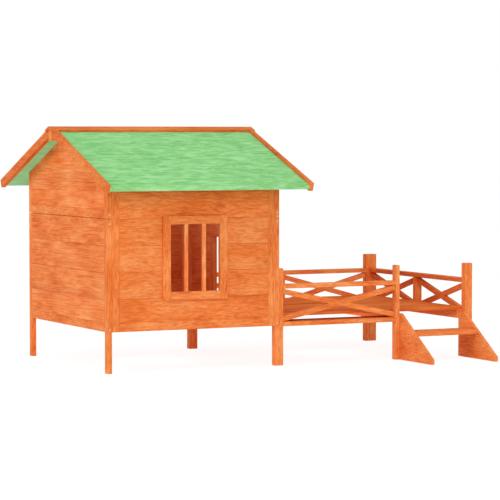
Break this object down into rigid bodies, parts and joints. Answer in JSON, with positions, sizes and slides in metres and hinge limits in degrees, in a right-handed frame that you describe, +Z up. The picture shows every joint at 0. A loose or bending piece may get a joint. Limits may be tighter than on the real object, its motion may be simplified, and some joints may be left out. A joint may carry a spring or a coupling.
{
  "type": "dog house",
  "caption": "Raised timber dog house with a gabled felt roof, barred window and open doorway onto a fenced porch with a step.",
  "frame": {"origin": "on the ground under the centre of the box round the whole product", "axes": "+X along the ridge from the closed gable to the porch, +Y from the window wall to the back wall, +Z up"},
  "size_m": [1.894, 1.373, 1.05],
  "materials": {
    "stained_pine_board": "orange-brown stained tongue-and-groove pine, satin",
    "stained_pine_planed": "orange-brown stained planed pine battens, satin",
    "mineral_felt": "pale green mineral-faced roofing felt, matt",
    "green_roof_board": "roof board with a green underside, matt"
  },
  "bodies": {
    "root": {"back_wall_battens": "stained_pine_planed", "back_wall_bottom_rail": "stained_pine_planed", "back_wall_planks": "stained_pine_board", "barge_board_left_front": "stained_pine_planed", "barge_board_left_rear": "stained_pine_planed", "barge_board_right_front": "stained_pine_planed", "barge_board_right_rear": "stained_pine_planed", "deck_boards": "stained_pine_board", "deck_ledgers": "stained_pine_board", "door_head_plank": "stained_pine_board", "door_jambs": "stained_pine_planed", "door_planks_front": "stained_pine_board", "door_planks_rear": "stained_pine_board", "floor_boards": "stained_pine_board", "floor_joists": "stained_pine_planed", "front_planks_above_window": "stained_pine_board", "front_planks_below_window": "stained_pine_board", "front_planks_beside_window": "stained_pine_board", "front_wall_battens": "stained_pine_planed", "front_wall_bottom_rail": "stained_pine_planed", "left_gable_planks": "stained_pine_board", "left_gable_posts": "stained_pine_planed", "left_gable_rails": "stained_pine_planed", "left_gable_top_planks": "stained_pine_board", "leg_front_left": "stained_pine_planed", "leg_front_right": "stained_pine_planed", "leg_rear_left": "stained_pine_planed", "leg_rear_right": "stained_pine_planed", "porch_back_braces": "stained_pine_planed", "porch_back_rails": "stained_pine_planed", "porch_end_braces": "stained_pine_planed", "porch_end_rails": "stained_pine_planed", "porch_front_braces": "stained_pine_planed", "porch_front_rails": "stained_pine_planed", "porch_post_back_end": "stained_pine_planed", "porch_post_back_middle": "stained_pine_planed", "porch_post_corner_front": "stained_pine_planed", "porch_post_corner_rear": "stained_pine_planed", "porch_post_end_middle": "stained_pine_planed", "porch_post_house_front": "stained_pine_planed", "porch_post_house_rear": "stained_pine_planed", "porch_post_step": "stained_pine_planed", "ridge_beam": "stained_pine_planed", "ridge_board_front": "stained_pine_planed", "ridge_board_rear": "stained_pine_planed", "right_gable_posts": "stained_pine_planed", "right_gable_rails": "stained_pine_planed", "right_gable_top_planks": "stained_pine_board", "roof_boards_front": "green_roof_board", "roof_boards_rear": "green_roof_board", "roof_felt_front": "mineral_felt", "roof_felt_rear": "mineral_felt", "step_cheek_left": "stained_pine_board", "step_cheek_right": "stained_pine_board", "step_tread": "stained_pine_board", "window_bars": "stained_pine_planed", "window_head": "stained_pine_planed", "window_sill": "stained_pine_planed", "window_stile_left": "stained_pine_planed", "window_stile_right": "stained_pine_planed"}
  },
  "joints": []
}
